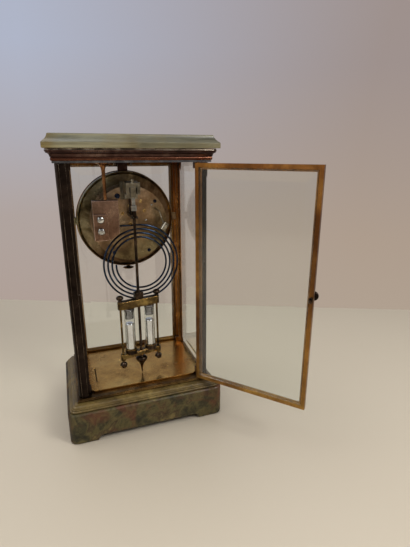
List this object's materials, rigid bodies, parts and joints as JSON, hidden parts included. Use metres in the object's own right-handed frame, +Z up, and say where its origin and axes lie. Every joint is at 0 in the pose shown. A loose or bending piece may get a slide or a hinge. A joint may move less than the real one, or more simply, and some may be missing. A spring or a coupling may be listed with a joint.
{
  "type": "four-glass clock",
  "caption": "Brass-framed table clock with glass on all four sides, a stone plinth, two hinged doors, a round movement, a wound gong and a mercury pendulum",
  "frame": {"origin": "The middle of the base, on the surface that its four feet stand on, 1.5 mm under the tie bolt's head", "axes": "+Z up, the dial and front door face -Y, the open rear door is on the +Y side, and +X is to the right as seen from the front"},
  "size_m": [0.2183, 0.1974, 0.29],
  "materials": {
    "plinth_stone": "polished mottled olive, brown and rust stone",
    "slab_onyx": "polished grey-green onyx with a yellowish end and pale lines",
    "case_brass": "dark purple-brown patinated brass with copper edges",
    "door_brass": "copper-brown to golden polished brass",
    "floor_brass": "polished brass",
    "plate_brass": "silvery to golden brushed brass",
    "wheel_brass": "polished brass wheels and steel arbors",
    "drum_brass": "dark green patinated brass",
    "bob_brass": "golden brass",
    "block_brass": "brushed copper-brown brass",
    "bright_steel": "polished steel",
    "dark_steel": "dark bronzed steel",
    "blue_steel": "blued steel",
    "enamel": "white enamel",
    "quicksilver": "bright liquid metal",
    "clear_glass": "clear polished glass"
  },
  "bodies": {
    "case": {"base_plinth": "plinth_stone", "base_moulding": "plinth_stone", "base_tie_bolt": "dark_steel", "bottom_frame": "case_brass", "floor_plate": "floor_brass", "column_front_left": "case_brass", "column_front_right": "case_brass", "column_rear_left": "case_brass", "column_rear_right": "case_brass", "left_glass": "clear_glass", "right_glass": "clear_glass", "cornice": "case_brass", "top_slab": "slab_onyx", "movement_drum": "drum_brass", "top_strap": "case_brass", "bezel": "door_brass", "dial": "enamel", "front_plate": "plate_brass", "back_plate": "plate_brass", "suspension_cock": "plate_brass", "gong": "blue_steel", "gong_block": "block_brass", "gong_clamp": "block_brass", "gong_screw_lower": "bright_steel", "gong_screw_upper": "bright_steel", "gong_post": "block_brass"},
    "front_door": {"front_door_frame": "door_brass", "front_door_glass": "clear_glass"},
    "front_latch": {"front_door_latch": "dark_steel"},
    "rear_door": {"rear_door_frame": "door_brass", "rear_door_glass": "clear_glass"},
    "rear_latch": {"rear_door_latch": "dark_steel"},
    "pendulum": {"suspension_spring": "bright_steel", "pendulum_rod": "dark_steel", "bob_top_yoke": "bob_brass", "bob_bottom_yoke": "bob_brass", "drop_finial": "bob_brass", "bob_tie_left": "bob_brass", "bob_tie_right": "bob_brass", "vial_left": "clear_glass", "vial_right": "clear_glass", "mercury_left": "quicksilver", "mercury_right": "quicksilver", "stopper_left": "bright_steel", "stopper_right": "bright_steel"},
    "anchor": {"anchor": "dark_steel"},
    "escape_wheel": {"escape_wheel": "wheel_brass"},
    "third_wheel": {"third_wheel": "wheel_brass"},
    "centre_wheel": {"centre_wheel": "wheel_brass"},
    "intermediate_wheel": {"intermediate_wheel": "wheel_brass"},
    "going_barrel": {"going_barrel": "wheel_brass"},
    "strike_barrel": {"strike_barrel": "wheel_brass"},
    "pin_wheel": {"pin_wheel": "wheel_brass"},
    "fly": {"fly": "wheel_brass"},
    "hammer": {"hammer": "bright_steel"},
    "minute_hand": {"minute_hand": "blue_steel", "cannon_pinion": "bright_steel"},
    "minute_wheel": {"minute_wheel": "wheel_brass"},
    "hour_hand": {"hour_hand": "blue_steel", "hour_wheel": "wheel_brass"}
  },
  "joints": [
    {"name": "front_door_hinge", "type": "hinge", "parent": "case", "child": "front_door", "pos_m": [0.0571, -0.0475, 0.15485], "axis": [0, 0, 1], "range_deg": [0, 170]},
    {"name": "front_latch_turn", "type": "hinge", "parent": "front_door", "child": "front_latch", "pos_m": [-0.0565, -0.0475, 0.15485], "axis": [0, 1, 0], "range_deg": [0, 90]},
    {"name": "rear_door_hinge", "type": "hinge", "parent": "case", "child": "rear_door", "pos_m": [-0.0571, 0.0475, 0.15485], "axis": [0, 0, 1], "range_deg": [-131, 39]},
    {"name": "rear_latch_turn", "type": "hinge", "parent": "rear_door", "child": "rear_latch", "pos_m": [-0.13163, 0.13324, 0.15485], "axis": [0.7547, 0.6561, 0], "range_deg": [0, 90]},
    {"name": "pendulum_swing", "type": "hinge", "parent": "case", "child": "pendulum", "pos_m": [0, 0.022, 0.2337], "axis": [0, 1, 0], "range_deg": [-3, 3]},
    {"name": "anchor_rock", "type": "hinge", "parent": "case", "child": "anchor", "pos_m": [0, 0, 0.2337], "axis": [0, 1, 0], "range_deg": [-3, 3]},
    {"name": "third_wheel_spin", "type": "hinge", "parent": "case", "child": "third_wheel", "pos_m": [0.00749, -0.0187, 0.21526], "axis": [0, 1, 0], "continuous": true},
    {"name": "centre_wheel_spin", "type": "hinge", "parent": "case", "child": "centre_wheel", "pos_m": [0, -0.0187, 0.2045], "axis": [0, 1, 0], "continuous": true},
    {"name": "intermediate_wheel_spin", "type": "hinge", "parent": "case", "child": "intermediate_wheel", "pos_m": [0.0004, -0.0187, 0.19115], "axis": [0, 1, 0], "continuous": true},
    {"name": "going_barrel_spin", "type": "hinge", "parent": "case", "child": "going_barrel", "pos_m": [0.0182, -0.0187, 0.1985], "axis": [0, 1, 0], "continuous": true},
    {"name": "escape_wheel_spin", "type": "hinge", "parent": "case", "child": "escape_wheel", "pos_m": [0, -0.0187, 0.2231], "axis": [0, 1, 0], "continuous": true},
    {"name": "pin_wheel_spin", "type": "hinge", "parent": "case", "child": "pin_wheel", "pos_m": [-0.01486, -0.0187, 0.21747], "axis": [0, 1, 0], "continuous": true},
    {"name": "strike_barrel_spin", "type": "hinge", "parent": "case", "child": "strike_barrel", "pos_m": [-0.0182, -0.0187, 0.1985], "axis": [0, 1, 0], "continuous": true},
    {"name": "fly_spin", "type": "hinge", "parent": "case", "child": "fly", "pos_m": [-0.0114, -0.0187, 0.22697], "axis": [0, 1, 0], "continuous": true},
    {"name": "hammer_lift", "type": "hinge", "parent": "case", "child": "hammer", "pos_m": [-0.027, -0.0187, 0.2185], "axis": [0, 1, 0], "range_deg": [-2, 12], "stiffness_Nm_per_rad": 0.03},
    {"name": "minute_hand_turn", "type": "hinge", "parent": "case", "child": "minute_hand", "pos_m": [0, -0.038, 0.2045], "axis": [0, 1, 0], "continuous": true},
    {"name": "minute_wheel_spin", "type": "hinge", "parent": "case", "child": "minute_wheel", "pos_m": [-0.00908, -0.0355, 0.2012], "axis": [0, 1, 0], "continuous": true},
    {"name": "hour_hand_turn", "type": "hinge", "parent": "case", "child": "hour_hand", "pos_m": [0, -0.038, 0.2045], "axis": [0, 1, 0], "continuous": true}
  ],
  "couplings": [
    {"joint": "anchor_rock", "follows": "pendulum_swing", "ratio": 1},
    {"joint": "centre_wheel_spin", "follows": "third_wheel_spin", "ratio": -0.0875},
    {"joint": "intermediate_wheel_spin", "follows": "third_wheel_spin", "ratio": 0.014583},
    {"joint": "going_barrel_spin", "follows": "third_wheel_spin", "ratio": -0.0020833},
    {"joint": "escape_wheel_spin", "follows": "third_wheel_spin", "ratio": -10},
    {"joint": "strike_barrel_spin", "follows": "pin_wheel_spin", "ratio": -0.14286},
    {"joint": "fly_spin", "follows": "pin_wheel_spin", "ratio": -8.5714},
    {"joint": "minute_wheel_spin", "follows": "minute_hand_turn", "ratio": -0.33333},
    {"joint": "hour_hand_turn", "follows": "minute_hand_turn", "ratio": 0.083333}
  ]
}
